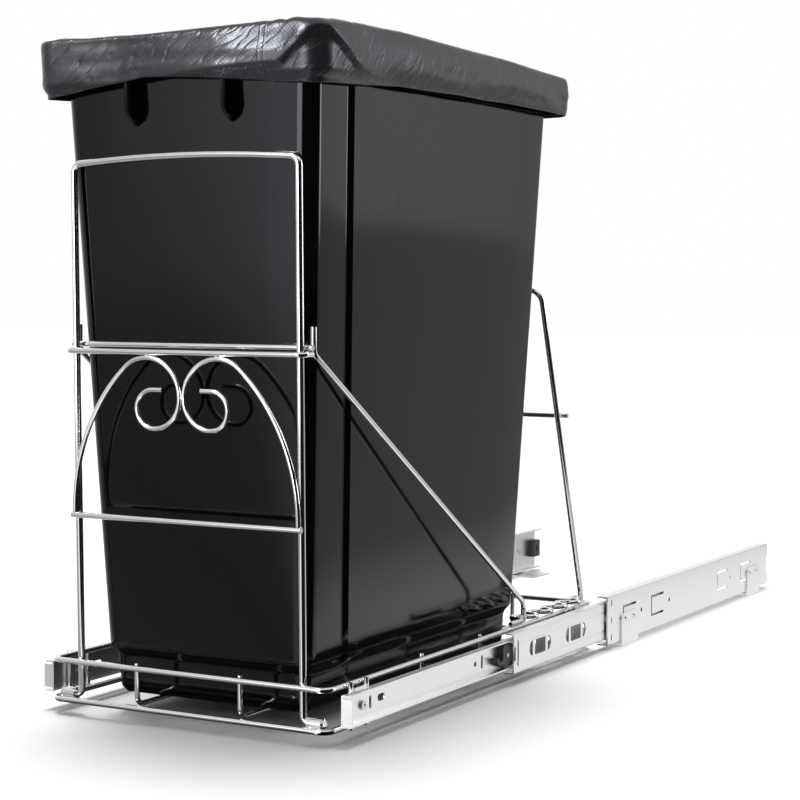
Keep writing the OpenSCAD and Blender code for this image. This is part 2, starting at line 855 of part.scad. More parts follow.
// Scroll of tangent arcs: up from the lower bar, over a brow under the peg bar, in to a curl and tip
module scroll(s) {
    brow_end = 48;
    curl_end = 280;
    tip_end = 450;
    tail = 9;
    thick_d = scroll_d + 2 * seam;
    bx = scroll_d / 2 + weld_gap + brow_r;
    bz = peg_bar_z - bar_d / 2 - scroll_d / 2 - weld_gap - brow_r;
    arch_r = (hoop_x - bx - brow_r * cos(brow_end)) / (1 - cos(brow_end));
    az = bz + (brow_r - arch_r) * sin(brow_end);
    cx = bx - brow_r + curl_r;
    tx = cx + (curl_r - tip_r) * cos(curl_end);
    tz = bz + (curl_r - tip_r) * sin(curl_end);
    low = low_bar_z + bar_d / 2 + weld_gap;
    color("silver")
        lean()
            on_side(s)
                translate([0, scroll_y, 0])
                    rotate([90, 0, 0]) {
                        rod([hoop_x, low, 0], [hoop_x, az + seam_reach, 0], scroll_d);
                        translate([hoop_x - arch_r, az, 0])
                            ring_arc(arch_r, thick_d, 0, brow_end);
                        translate([bx, bz, 0])
                            long_arc(brow_r, brow_end, 180);
                        translate([cx, bz, 0])
                            ring_arc(curl_r, thick_d, 180, curl_end - 180);
                        translate([tx, tz, 0])
                            long_arc(tip_r, curl_end, tip_end);
                        rod([tx, tz + tip_r, 0], [tx - tail, tz + tip_r, 0], thick_d);
                    }
}

// Arc of the scroll wire from a0 to a1 that reaches a little into its neighbours
module long_arc(r, a0, a1) {
    more = seam_reach / r * 180 / PI;
    ring_arc(r, scroll_d, a0 - more, a1 - a0 + 2 * more);
}

module scroll_left() scroll(-1);
module scroll_right() scroll(1);

// Brace side: stub, diagonal, and the pin that drops into a rack pocket
module brace_side(s) {
    color("silver")
        on_side(s)
            wire([[brace_x, brace_y, brace_bar_z + stub_h], [brace_x, brace_y, knee_z],
                    [pin_x, brace_pin_y, brace_bend_z], [pin_x, brace_pin_y, pin_tip_z]], bar_d, [8, 8], seam);
}

module brace_left() brace_side(-1);
module brace_right() brace_side(1);

module brace_bar() {
    reach = brace_x + bar_d / 2;
    color("silver")
        rod([-reach, brace_bar_y, brace_bar_z], [reach, brace_bar_y, brace_bar_z], bar_d);
}

// Inverted U that leans on the back of the bin; its feet are pins in the last pockets
module rear_hoop() {
    top_bend = 12;
    x0 = rear_pin_x;
    x1 = rear_w / 2;
    color("silver")
        wire([[-x0, rear_pin_y, pin_tip_z], [-x0, rear_pin_y, rear_foot_z], [-x1, rear_lean_y, rear_top],
                [x1, rear_lean_y, rear_top], [x0, rear_pin_y, rear_foot_z], [x0, rear_pin_y, pin_tip_z]],
            rear_d, [10, top_bend, top_bend, 10], seam);
}

module rear_bar() {
    color("silver")
        rod([-rear_bar_x, rear_bar_y, rear_bar_z], [rear_bar_x, rear_bar_y, rear_bar_z], bar_d);
}

// Corner arc of an outline, a quarter turn from a0
corner_steps = 8;
function arc(cx, cy, r, a0) =
    [for (i = [0:corner_steps]) [cx + r * cos(a0 + 90 * i / corner_steps), cy + r * sin(a0 + 90 * i / corner_steps)]];

// Groove in a side of an outline: x is the wall, y the groove's middle, d its depth towards the inside
function groove(x, y, d, w, k) = [[x, y - k * w / 2], [x - k * d, y - k * w / 4], [x - k * d, y + k * w / 4],
    [x, y + k * w / 2]];

// Rectangle with round corners and a groove in each long side, near the front
function outline(w, l, r, d, gw) =
    let (hx = w / 2, hy = l / 2, g = groove_back - hy)
    concat(arc(hx - r, r - hy, r, 270), groove(hx, g, d, gw, 1), arc(hx - r, hy - r, r, 0),
        arc(r - hx, hy - r, r, 90), groove(-hx, g, d, gw, -1), arc(r - hx, r - hy, r, 180));

// Solid through outlines of equal length, each given as [height, points];
// the triangles' diagonals run the same way on rising and falling walls
module loft(rings) {
    n = len(rings[0][1]);
    m = len(rings);
    pts = [for (ring = rings) for (p = ring[1]) [p[0], p[1], ring[0]]];
    bottom = [for (i = [0:n - 1]) i];
    top = [for (i = [0:n - 1]) m * n - 1 - i];
    sides = [for (k = [0:m - 2]) for (i = [0:n - 1])
        let (a = k * n + i, d = k * n + (i + 1) % n, b = a + n, c = d + n)
        each rings[k + 1][0] >= rings[k][0] ? [[a, b, c], [a, c, d]] : [[a, b, d], [b, c, d]]];
    translate([0, bin_y, 0])
        polyhedron(pts, concat([bottom], sides, [top]));
}

// Ring of the bin's wall at height z, moved in by t
function wall_ring(z, t, d) = [z, outline(bin_w(z) - 2 * t, bin_l(z) - 2 * t, bin_r - t / 2, d, groove_w + t)];

// Ring of the rim at height z, moved out from the wall's top by t
function rim_ring(z, t) =
    [z, outline(bin_w_top + 2 * t, bin_l_top + 2 * t, rim_corner - rim_out + t, 0, groove_w)];

// Waste bin: tapered grooved wall on a recessed base, under a skirted rim with two hook ribs.
// The rings run up the outside, round the skirt and down the inside.
module bin() {
    shoulder_z = bin_z + base_h;
    under_z = bin_top - bin_wall;
    t = bin_wall;
    hook_x = 43;
    color([0.1, 0.1, 0.11])
        union() {
            loft([wall_ring(bin_z, base_in + 3, 0), wall_ring(bin_z + 4, base_in, 0),
                wall_ring(shoulder_z, base_in, 0), wall_ring(step_z, 0, groove_in),
                wall_ring(under_z, 0, groove_in), rim_ring(under_z, rim_out - t),
                rim_ring(skirt_z, rim_out - t), rim_ring(skirt_z, rim_out), rim_ring(bin_top, rim_out),
                wall_ring(bin_top, t, groove_in), wall_ring(step_z, t, groove_in),
                wall_ring(shoulder_z, base_in + t, 0), wall_ring(bin_z + t, base_in + t, 0)]);
            for (s = [-1, 1])
                hook_rib(s * hook_x);
        }
}

// Middle of the front wall's thickness at height z
function front_wall(z) = bin_y - bin_l(z) / 2 + bin_wall / 2;

// Rib under the rim: a plate from the skirt back to the wall, its lower front corner cut off
module hook_rib(x) {
    w = 4;
    cut_l = 4;
    cut_low = 5;
    cut_high = 12;
    front = bin_y - bin_l_top / 2 - rim_out + bin_wall / 2;
    foot = skirt_z - hook_h;
    top = bin_top - bin_wall / 2;
    translate([x - w / 2, 0, 0])
        rotate([90, 0, 90])
            linear_extrude(height = w)
                polygon([[front, foot + cut_high], [front + cut_l, foot + cut_low], [front_wall(foot), foot],
                    [front_wall(top), top], [front, top]]);
}

// Bag liner: a cuff turned down over the rim, and a skin that follows the inside of the bin
module liner() {
    top = bin_top + seat_gap;
    cuff_h = 32;
    low = bin_z + bin_wall + seat_gap;
    shoulder_z = bin_z + base_h;
    g = bin_wall + seat_gap;
    t = liner_t;
    c = rim_out + seat_gap;
    color([0.16, 0.16, 0.17])
        loft([wall_ring(low, base_in + g, 0), wall_ring(shoulder_z, base_in + g, 0),
            wall_ring(step_z, g, groove_in), wall_ring(top, g, groove_in), rim_ring(top, c),
            rim_ring(top - cuff_h, c), rim_ring(top - cuff_h, c + t), rim_ring(top + t, c + t),
            wall_ring(top + t, g + t, groove_in), wall_ring(step_z, g + t, groove_in),
            wall_ring(shoulder_z, base_in + g + t, 0), wall_ring(low + t, base_in + g + t, 0)]);
}

outer_rail_left();
outer_rail_right();
front_foot_left();
front_foot_right();
rear_foot_left();
rear_foot_right();
foot_rivets();
rear_bumper_left();
rear_bumper_right();
middle_rail_left();
middle_rail_right();
outer_cage_left();
outer_cage_right();
inner_cage_left();
inner_cage_right();
outer_balls_left();
outer_balls_right();
inner_balls_left();
inner_balls_right();
inner_rail_left();
inner_rail_right();
release_lever_left();
release_lever_right();
lever_pins();
top_rim();
bottom_rim();
floor_wire_left();
floor_wire_right();
cross_wires();
slide_posts_left();
slide_posts_right();
pocket_rack_left();
pocket_rack_right();
hinge_sleeve_left();
hinge_sleeve_right();
slide_tabs();
slide_screws();
front_hoop();
peg_bar();
lower_bar();
scroll_left();
scroll_right();
brace_left();
brace_right();
brace_bar();
rear_hoop();
rear_bar();
bin();
liner();
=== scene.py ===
# %% [markdown]
# # Pull-out bin frame
# The frame rolls out of a kitchen cabinet on two ball slides and carries a lined waste bin. The solids
# come from the packed part, in metres, and stay where they are. This file gives them their finishes,
# adds the weld beads, the moulded bin and the bag, and sets up the studio.

# %% Load the frame
import itertools
import json
import math

import bmesh
import bpy
import numpy as np
from mathutils import Matrix, Vector, noise
from mathutils.bvhtree import BVHTree


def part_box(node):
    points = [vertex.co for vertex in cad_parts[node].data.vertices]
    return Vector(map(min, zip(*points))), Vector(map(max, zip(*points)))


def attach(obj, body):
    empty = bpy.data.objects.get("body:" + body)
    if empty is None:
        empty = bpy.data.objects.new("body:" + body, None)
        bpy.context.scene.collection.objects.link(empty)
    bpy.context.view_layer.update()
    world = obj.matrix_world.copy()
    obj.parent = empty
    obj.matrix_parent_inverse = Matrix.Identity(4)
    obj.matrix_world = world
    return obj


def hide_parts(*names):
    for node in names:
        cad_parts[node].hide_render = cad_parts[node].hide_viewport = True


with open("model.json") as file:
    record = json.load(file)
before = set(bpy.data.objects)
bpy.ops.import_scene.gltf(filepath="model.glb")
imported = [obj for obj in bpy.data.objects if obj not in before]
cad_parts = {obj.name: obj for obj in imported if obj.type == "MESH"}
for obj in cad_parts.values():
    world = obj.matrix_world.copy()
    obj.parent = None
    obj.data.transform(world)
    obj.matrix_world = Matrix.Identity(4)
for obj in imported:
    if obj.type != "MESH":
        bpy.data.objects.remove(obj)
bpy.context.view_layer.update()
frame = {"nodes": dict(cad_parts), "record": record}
nodes = frame["nodes"]

# %% [markdown]
# ## Camera
# The photograph was taken from the front right, a little above the basket, with a long lens. A camera was
# fitted to the straight edges of the rails and wires, and its place is given here as a point, a heading
# and a tilt. The picture is square, so the lens follows from the focal length over the picture's width.

# %% Camera
sensor_width, picture_width, focal_pixels = 36, 800, 1949.2


def studio_camera(place, heading, tilt, roll, lens):
    data = bpy.data.cameras.new("studio_camera")
    data.sensor_width = sensor_width
    data.lens = lens
    data.clip_start, data.clip_end = 0.05, 50
    camera = bpy.data.objects.new("studio_camera", data)
    a, e = math.radians(heading), math.radians(tilt)
    back = Vector((math.sin(a) * math.cos(e), -math.cos(a) * math.cos(e), math.sin(e)))
    turn = (-back).to_track_quat("-Z", "Y").to_matrix().to_4x4()
    camera.matrix_world = Matrix.Translation(place) @ turn @ Matrix.Rotation(math.radians(roll), 4, "Z")
    bpy.context.scene.collection.objects.link(camera)
    return camera


scene = bpy.context.scene
scene.camera = studio_camera(place=(0.8445, -1.8666, 0.3252), heading=29.252, tilt=3.079, roll=0.137,
    lens=focal_pixels * sensor_width / picture_width)
scene.view_settings.view_transform = "Standard"
print("camera at", tuple(round(v, 3) for v in scene.camera.location))

# %% [markdown]
# ## Sockets as numbers
# A finish is a node tree. It could be drawn by hand in the node editor, or written as pages of links. It is
# easier to read as formulas, so Socket wraps one output of a node, and arithmetic on it adds Math nodes.

# %% Sockets as numbers
class Socket:
    def __init__(self, tree, out):
        self.tree, self.out = tree, out

    def math(self, op, other=None, flip=False):
        values = [self] if other is None else ([other, self] if flip else [self, other])
        return self.tree.node("ShaderNodeMath", {"operation": op}, dict(enumerate(values)))

    def __add__(self, other):
        return self.math("ADD", other)

    def __sub__(self, other):
        return self.math("SUBTRACT", other)

    def __rsub__(self, other):
        return self.math("SUBTRACT", other, True)

    def __mul__(self, other):
        return self.math("MULTIPLY", other)

    def __truediv__(self, other):
        return self.math("DIVIDE", other)

    def __rtruediv__(self, other):
        return self.math("DIVIDE", other, True)

    # The order makes no difference to a sum or a product
    __radd__, __rmul__ = __add__, __mul__


print("reflected operators:", [name for name in vars(Socket) if name.startswith("__r")])

# %% [markdown]
# ## Node trees
# Tree.node makes any node from its type, its settings and what its sockets get, and hands back one output.
# The small methods after it cover what nearly every finish needs: mixing two colours, a place on the object,
# noise, a range and a bump. With them a finish takes ten lines, and all finishes are written the same way.

# %% Node trees
class Tree:
    def __init__(self, owner):
        owner.use_nodes = True
        self.nodes, self.links = owner.node_tree.nodes, owner.node_tree.links
        self.nodes.clear()

    def node(self, kind, settings=None, inputs=None, out=0):
        n = self.nodes.new(kind)
        for key, value in (settings or {}).items():
            if key == "stops":
                ramp = n.color_ramp
                while len(ramp.elements) < len(value):
                    ramp.elements.new(0.5)
                for stop, (at, colour) in zip(ramp.elements, value):
                    stop.position, stop.color = at, colour
            else:
                setattr(n, key, value)
        for key, value in (inputs or {}).items():
            if isinstance(value, Socket):
                self.links.new(value.out, n.inputs[key])
            else:
                n.inputs[key].default_value = value
        return Socket(self, n.outputs[out]) if n.outputs else None

    def mix(self, share, a, b):
        return self.node("ShaderNodeMix", {"data_type": "RGBA"}, {0: share, 6: a, 7: b}, out=2)

    def place(self, scale=(1, 1, 1)):
        spot = self.node("ShaderNodeTexCoord", out=3)
        return self.node("ShaderNodeMapping", None, {"Vector": spot, "Scale": scale})

    def noise(self, where, scale, detail=3, roughness=0.5):
        return self.node("ShaderNodeTexNoise", None,
            {"Vector": where, "Scale": scale, "Detail": detail, "Roughness": roughness})

    def span(self, value, start, end, low=0.0, high=1.0):
        return self.node("ShaderNodeMapRange", None, {0: value, 1: start, 2: end, 3: low, 4: high})

    def bump(self, height, strength, distance, over=None):
        inputs = {"Strength": strength, "Distance": distance, "Height": height}
        if over is not None:
            inputs["Normal"] = over
        return self.node("ShaderNodeBump", None, inputs)


def finish(name, build):
    material = bpy.data.materials.new(name)
    tree = Tree(material)
    surface = build(tree)
    tree.node("ShaderNodeOutputMaterial", None, {"Surface": surface})
    return material


print("tree methods:", [name for name in vars(Tree) if not name.startswith("_")])

# %% [markdown]
# ## Studio surroundings
# A frame like this is photographed in a white room, and its chrome and gloss show what stands round it.
# To the camera the surroundings are plain white. Polished things see a grey wall to the left front, a
# bright opening in front, a black wall all along the right and white behind. A picture of a real studio
# could give that, but no picture is needed: one ramp by compass direction holds the pattern, which draws the
# streaks in the chrome and the line beside the bin's black corner.

# %% Studio surroundings
# Compass directions are in turns: 0.5 is straight to the front, and more is to the right
right_end, behind_start = 0.836, 0.862
room_stops = ((0.00, 0.6), (0.05, 1.0), (0.22, 1.0), (0.30, 0.6), (0.37, 0.5), (0.394, 0.6), (0.414, 1.5),
    (0.500, 1.2), (0.524, 0.012), (right_end, 0.012), (behind_start, 1.0), (0.914, 1.0), (0.932, 0.6),
    (1.00, 0.6))
# The room turns to an even ceiling between these two heights of the view direction
lid_start, lid_end, lid_light = 0.40, 0.80, 0.8
# Light that matt surfaces get from all sides
soft_light = 0.52


def grey(v):
    return (v, v, v, 1)


def room_light(t, x, y):
    """Direction in turns, and the brightness of the studio there."""
    turn = x.math("ARCTAN2", y * -1.0) / math.tau + 0.5
    stops = [(at, grey(brightness)) for at, brightness in room_stops]
    return turn, t.node("ShaderNodeValToRGB", {"stops": stops}, {0: turn})


def light_path(t):
    ray = t.nodes.new("ShaderNodeLightPath").outputs
    return [Socket(t, ray[k]) for k in ("Is Camera Ray", "Is Glossy Ray", "Is Transmission Ray")]


def surroundings():
    world = bpy.data.worlds.new("studio")
    scene.world = world
    t = Tree(world)
    heading = t.node("ShaderNodeTexCoord")
    x, y, z = (t.node("ShaderNodeSeparateXYZ", None, {0: heading}, out=i) for i in range(3))
    wall = room_light(t, x, y)[1]
    lid = t.node("ShaderNodeMapRange", {"interpolation_type": "SMOOTHSTEP"}, {0: z, 1: lid_start, 2: lid_end})
    camera, glossy, through = light_path(t)
    plain = t.node("ShaderNodeBackground", None, {"Color": grey(1.0), "Strength": soft_light})
    white = t.node("ShaderNodeBackground", None, {"Color": grey(1.0), "Strength": 1.0})
    room = t.node("ShaderNodeBackground", None, {"Color": t.mix(lid, wall, grey(lid_light)), "Strength": 1.0})
    lit = t.node("ShaderNodeMixShader", None, {0: glossy, 1: plain, 2: room})
    lit = t.node("ShaderNodeMixShader", None, {0: camera.math("MAXIMUM", through), 1: lit, 2: white})
    t.node("ShaderNodeOutputWorld", None, {"Surface": lit})


surroundings()
print("surroundings:", scene.world.name)

# %% [markdown]
# ## Studio floor
# The floor is a wide sheet of white paper. To the camera it is plain paper that keeps a soft shadow. In
# reflections it goes on with the room's pattern, turned about the bin's front right corner, because the
# rails and the bin's lower walls mirror the floor and not the room. Under the basket it is dark, as shade is.

# %% Studio floor
# A bright strip towards the front, in turns, and the shade under the basket, in metres
strip_turn, strip_half, strip_blur = 0.467, 0.026, 0.010
shade_y, shade_half, shade_blur = -0.46, (0.135, 0.23), (0.03, 0.04)


def floor_sheet(size, pole):
    mesh = bpy.data.meshes.new("floor")
    corners = [(-size, -size, 0), (size, -size, 0), (size, size, 0), (-size, size, 0)]
    mesh.from_pydata(corners, [], [(0, 1, 2, 3)])
    floor = bpy.data.objects.new("floor", mesh)
    scene.collection.objects.link(floor)

    def paper(t):
        spot = t.node("ShaderNodeTexCoord", out=3)
        x, y = (t.node("ShaderNodeSeparateXYZ", None, {0: spot}, out=i) for i in range(2))
        turn, wall = room_light(t, x - pole[0], y - pole[1])
        strip = t.span((turn - strip_turn).math("ABSOLUTE"), strip_half + strip_blur, strip_half)
        away = ((x - pole[0]) * (x - pole[0]) + (y - pole[1]) * (y - pole[1])).math("SQRT")
        behind = t.span(turn, right_end, behind_start)
        paper_share = t.span(x, 0.25, 0.40, 0.92, 0.46)
        wall_share = t.span(away, 1.2, 3.5, 0.60, 1.0)
        seen = t.mix(behind, t.mix(wall_share, grey(0.0), wall), t.mix(paper_share, grey(0.0), grey(1.0)))
        beside, ahead = (t.span(gap.math("ABSOLUTE"), half, half + blur, 0.06, 1.0)
            for gap, half, blur in zip((x, y - shade_y), shade_half, shade_blur))
        seen = t.mix(beside.math("MAXIMUM", ahead), grey(0.0), seen)
        tooth = t.noise(t.place(), 60)
        white = t.node("ShaderNodeBsdfDiffuse", None,
            {"Color": t.mix(tooth, (0.960, 0.962, 0.965, 1), (0.980, 0.982, 0.985, 1))})
        mirrored = t.node("ShaderNodeBsdfPrincipled", None, {
            "Base Color": grey(0), "Specular IOR Level": 0.0,
            "Emission Color": t.mix(strip, seen, grey(1.0)), "Emission Strength": 1.0})
        return t.node("ShaderNodeMixShader", None, {0: light_path(t)[1], 1: white, 2: mirrored})

    mesh.materials.append(finish("floor_paper", paper))
    return floor


floor = floor_sheet(size=14, pole=(0.112, -0.685))
print("floor:", tuple(round(v) for v in floor.dimensions), "m")

# %% [markdown]
# ## Studio lamps
# One broad sun from above gives the paper its brightness and the shadow its soft edge, and stays out of
# reflections. Three softboxes do the opposite and show only in reflections: as the bright line on the bin's
# front corner, as the sheen on the bag's cuff and as a light edge on the bin's long side.

# %% Studio lamps
def lamp(name, kind, place, aim):
    data = bpy.data.lights.new(name, kind)
    made = bpy.data.objects.new(name, data)
    made.location = place
    made.rotation_mode = "QUATERNION"
    made.rotation_quaternion = (Vector(aim) - Vector(place)).to_track_quat("-Z", "Y")
    made.visible_camera = False
    scene.collection.objects.link(made)
    return made


def softbox(name, place, aim, size, power):
    """Seen only in reflections: it draws highlights and leaves the floor's shadow alone."""
    made = lamp(name, "AREA", place, aim)
    made.data.shape = "RECTANGLE"
    made.data.size, made.data.size_y = size
    made.data.energy = power
    made.visible_diffuse = False


sky_lamp = lamp("sky_lamp", "SUN", (-0.32, 0.22, 2.6), (0, -0.3, 0))
sky_lamp.data.energy, sky_lamp.data.angle = 2.5, math.radians(26)
sky_lamp.visible_glossy = False
softbox("front_softbox", place=(-0.36, -2.85, 1.02), aim=(0.11, -0.68, 1.02), size=(1.10, 2.0), power=26)
softbox("high_softbox", place=(-0.92, -2.77, 1.95), aim=(0.05, -0.69, 0.5), size=(0.6, 1.3), power=90)
softbox("back_softbox", place=(2.0, 1.15, 1.02), aim=(0.11, -0.66, 0.8), size=(0.42, 1.6), power=10)

# %% [markdown]
# ## Chrome
# The wires are steel, bent, welded and then chromed. Chrome could be a plain mirror, but a perfect mirror
# looks drawn. So the roughness of this one changes a little: haze from polishing and a few dull specks,
# both from noise on the object itself, which needs no picture file.

# %% Chrome
def chrome(t):
    spot = t.place()
    haze = t.noise(spot, 35, 4)
    speck = t.span(t.noise(spot, 900, 2), 0.68, 0.78)
    tint = t.mix(haze, (0.80, 0.81, 0.83, 1), (0.90, 0.90, 0.91, 1))
    bump = t.bump(t.noise(spot, 160, 2), 0.05, 0.0002)
    return t.node("ShaderNodeBsdfPrincipled", None, {"Base Color": tint, "Metallic": 1.0,
        "Roughness": haze * 0.06 + speck * 0.12 + 0.035, "Normal": bump})


finishes = {"chrome_wire": finish("chrome_wire", chrome)}
print("chrome nodes:", len(finishes["chrome_wire"].node_tree.nodes))

# %% [markdown]
# ## Zinc and steel
# The rails are rolled from zinc plated strip, so their reflections are soft and drawn out along the rail.
# Anisotropic reflection could do that, but noise that is stretched along the rail costs less and bakes well.
# A second noise adds the blotchy spangle. One function serves rails, feet, cages, balls and fixings, which
# differ in shade and gloss alone.

# %% Zinc and steel
def zinc(light, dark, rough):
    def build(t):
        rolled = t.noise(t.place((260, 3, 260)), 4, 5)
        blotch = t.noise(t.place(), 55, 4)
        grain = t.noise(t.place((900, 60, 900)), 1.5, 3)
        tint = t.mix(blotch * 0.6 + rolled * 0.4, dark, light)
        bump = t.bump(grain, 0.12, 0.0002)
        return t.node("ShaderNodeBsdfPrincipled", None, {"Base Color": tint, "Metallic": 1.0,
            "Roughness": rolled * 0.14 + blotch * 0.08 + rough, "Normal": bump})
    return build


steels = {
    "zinc_rail": zinc((0.93, 0.935, 0.94, 1), (0.82, 0.825, 0.83, 1), 0.20),
    "zinc_foot": zinc((0.94, 0.94, 0.94, 1), (0.84, 0.84, 0.84, 1), 0.26),
    "cage_steel": zinc((0.58, 0.59, 0.61, 1), (0.42, 0.43, 0.45, 1), 0.22),
    "ball_steel": zinc((0.78, 0.79, 0.80, 1), (0.66, 0.67, 0.68, 1), 0.05),
    "fixing_steel": zinc((0.80, 0.80, 0.80, 1), (0.62, 0.62, 0.63, 1), 0.16),
}
for name, build in steels.items():
    finishes[name] = finish(name, build)
print("metal finishes:", sorted(finishes))

# %% [markdown]
# ## Weld metal
# A weld bead is metal that melted and froze, so it is lumpy, and duller than the chrome beside it. Tint,
# roughness and bump could each have a noise of their own. Here one noise drives all three, because on real
# metal they come from the same lumps.

# %% Weld metal
def bead_metal(t):
    lump = t.noise(t.place(), 420, 4)
    tint = t.mix(lump, (0.55, 0.55, 0.56, 1), (0.82, 0.82, 0.83, 1))
    bump = t.bump(lump, 0.5, 0.0004)
    return t.node("ShaderNodeBsdfPrincipled", None, {"Base Color": tint, "Metallic": 1.0,
        "Roughness": lump * 0.2 + 0.12, "Normal": bump})


weld_finish = finish("weld_bead", bead_metal)
print("weld finish:", weld_finish.name)

# %% [markdown]
# ## Bin plastic
# The bin is glossy black polypropylene: a dark body under a clear reflection. Black with one roughness would
# mirror the studio like glass, but a large moulded wall is never quite flat or clean. So a slow bump bends
# the reflection, and faint upright scuffs blur it here and there.

# %% Bin plastic
def bin_gloss(t):
    spot = t.place()
    wave = t.noise(spot, 5, 2)
    fine = t.noise(spot, 1400, 2)
    scuff = t.span(t.noise(t.place((1, 1, 0.15)), 90, 6), 0.62, 0.85)
    sway = t.bump(wave, 0.12, 0.004)
    bump = t.bump(fine, 0.04, 0.0002, sway)
    tint = t.mix(wave, (0.0010, 0.0010, 0.0013, 1), (0.0020, 0.0020, 0.0026, 1))
    return t.node("ShaderNodeBsdfPrincipled", None, {"Base Color": tint,
        "Roughness": scuff * 0.12 + wave * 0.04 + 0.06, "IOR": 1.42, "Normal": bump,
        "Specular Tint": (0.90, 0.93, 1.0, 1)})


finishes["bin_plastic"] = finish("bin_plastic", bin_gloss)
print("bin finish:", finishes["bin_plastic"].name)

# %% [markdown]
# ## Levers and stops
# The release levers and the rubber stops are small black mouldings with the fine grain of a spark-eroded
# mould. The grain is far too fine to model, so it is a bump. One function makes both, the rubber lighter
# and rougher than the plastic.

# %% Levers and stops
def matt_black(shade, rough):
    def build(t):
        spot = t.place()
        grain = t.noise(spot, 1800, 3)
        dust = t.noise(spot, 120, 4)
        bump = t.bump(grain, 0.25, 0.0003)
        return t.node("ShaderNodeBsdfPrincipled", None, {
            "Base Color": t.mix(dust, grey(shade * 0.7), grey(shade * 1.4)),
            "Roughness": grain * 0.15 + rough, "Normal": bump})
    return build


finishes["lever_plastic"] = finish("lever_plastic", matt_black(shade=0.022, rough=0.38))
finishes["bumper_rubber"] = finish("bumper_rubber", matt_black(shade=0.05, rough=0.6))
print("all finishes:", sorted(finishes))

# %% [markdown]
# ## Finishes on the solids
# Every solid names its material slot. The finishes could be set one by one, but one loop can't forget a
# piece, and the meshes stay as they are. The film of the bag comes later, with the piece that it is made for.

# %% Finishes on the solids
slot_of = {p["node"]: p["material_slot"] for p in frame["record"]["subparts"]}
for name, node in nodes.items():
    if slot_of[name] in finishes:
        node.data.materials.clear()
        node.data.materials.append(finishes[slot_of[name]])
print("finished solids:", sum(slot_of[n] in finishes for n in nodes))

# %% [markdown]
# ## Bin sizes
# The bin is one moulding: a tapered wall with round corners and one groove in each long side, on a base that
# is set in, under a rim with a skirt. Its outer size is read from the solid that it stands for, so it follows
# when the solid changes, and only the walls, radii and steps are numbers here.

# %% Bin sizes
low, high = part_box("bin")
bin_z, bin_top = low.z, high.z
bin_y = (low.y + high.y) / 2
rim_out, base_h, step_h, taper_w, taper_l = 0.012, 0.030, 0.006, 0.041, 0.048
top_w, top_l = high.x - low.x - 2 * rim_out, high.y - low.y - 2 * rim_out
low_w, low_l = top_w - taper_w, top_l - taper_l


def wall_size(z):
    share = (z - bin_z - base_h - step_h) / (bin_top - bin_z - base_h - step_h)
    return low_w + (top_w - low_w) * share, low_l + (top_l - low_l) * share


print("bin under the rim: %.3f x %.3f m" % wall_size(bin_top), "at its foot: %.3f x %.3f m" % (low_w, low_l))

# %% [markdown]
# ## Outlines
# A wall like the bin's is a loft: one outline, drawn again and again at other heights and insets. It could be
# cut out of a block with booleans, but a loft keeps the wall even and the faces few. The outline is worked
# out point by point: four round corners, straight runs between them and the groove in each long side.

# %% Outlines
corner_r, rim_corner, groove_w, groove_back = 0.013, 0.014, 0.0115, 0.0533


def outline(w, l, r, depth=0.0, gw=groove_w, corner=12, side=6):
    """Points anticlockwise, the same count for any size, so that outlines join to walls."""
    hx, hy, g = w / 2, l / 2, groove_back - l / 2
    points = []

    def turn(cx, cy, a0):
        for i in range(corner + 1):
            a = math.radians(a0 + 90 * i / corner)
            points.append((cx + r * math.cos(a), cy + r * math.sin(a)))

    def run(a, b, count):
        for i in range(1, count):
            points.append((a[0] + (b[0] - a[0]) * i / count, a[1] + (b[1] - a[1]) * i / count))

    def groove(x, y, k):
        flank = ((0.5, 0), (0.46, 0.12), (0.30, 0.92), (0.24, 1))
        for s, d in [(-s, d) for s, d in flank] + list(reversed(flank)):
            points.append((x - k * d * depth, y + k * s * gw))

    turn(hx - r, r - hy, 270)
    groove(hx, g, 1)
    run((hx, g + gw / 2), (hx, hy - r), side)
    turn(hx - r, hy - r, 0)
    run((hx - r, hy), (r - hx, hy), side)
    turn(r - hx, hy - r, 90)
    run((-hx, hy - r), (-hx, g + gw / 2), side)
    groove(-hx, g, -1)
    turn(r - hx, r - hy, 180)
    run((r - hx, -hy), (hx - r, -hy), side)
    return points


def wall_ring(z, t, depth):
    w, l = wall_size(z)
    return z, outline(w - 2 * t, l - 2 * t, corner_r - t / 2, depth, groove_w + t)


def rim_ring(z, t):
    return z, outline(top_w + 2 * t, top_l + 2 * t, rim_corner - rim_out + t)


print("points in an outline:", len(rim_ring(bin_top, 0)[1]))

# %% [markdown]
# ## Bin profile
# The rows of the loft run up the outside, round the rim's skirt and down the inside, and the corners of that
# profile are rounded as a mould rounds them. A bevel on the finished wall would do it too. Rounding the
# profile first takes fewer faces, and it can't pinch the grooves.

# %% Bin profile
wall, skirt_h, groove_in, base_in = 0.0024, 0.030, 0.004, 0.005
foot_in, foot_h, wall_round, rim_round = 0.003, 0.004, 0.003, 0.001


def rounded(profile, radius, steps=3):
    """Profile of [maker, height, inset, depth] rows with each corner in height and inset rounded off."""
    made = [profile[0]]
    for a, b, c in zip(profile, profile[1:], profile[2:]):
        p, q, s = (Vector((row[2], row[1])) for row in (a, b, c))
        r = min(radius, (q - p).length / 2.2, (s - q).length / 2.2)
        if a[0] is not b[0] or c[0] is not b[0] or r < 1e-5:
            made.append(b)
            continue
        u, v = q + (p - q).normalized() * r, q + (s - q).normalized() * r
        for i in range(steps + 1):
            k = i / steps
            m = u * (1 - k) ** 2 + q * 2 * k * (1 - k) + v * k * k
            made.append((b[0], m.y, m.x, b[3]))
    made.append(profile[-1])
    return made


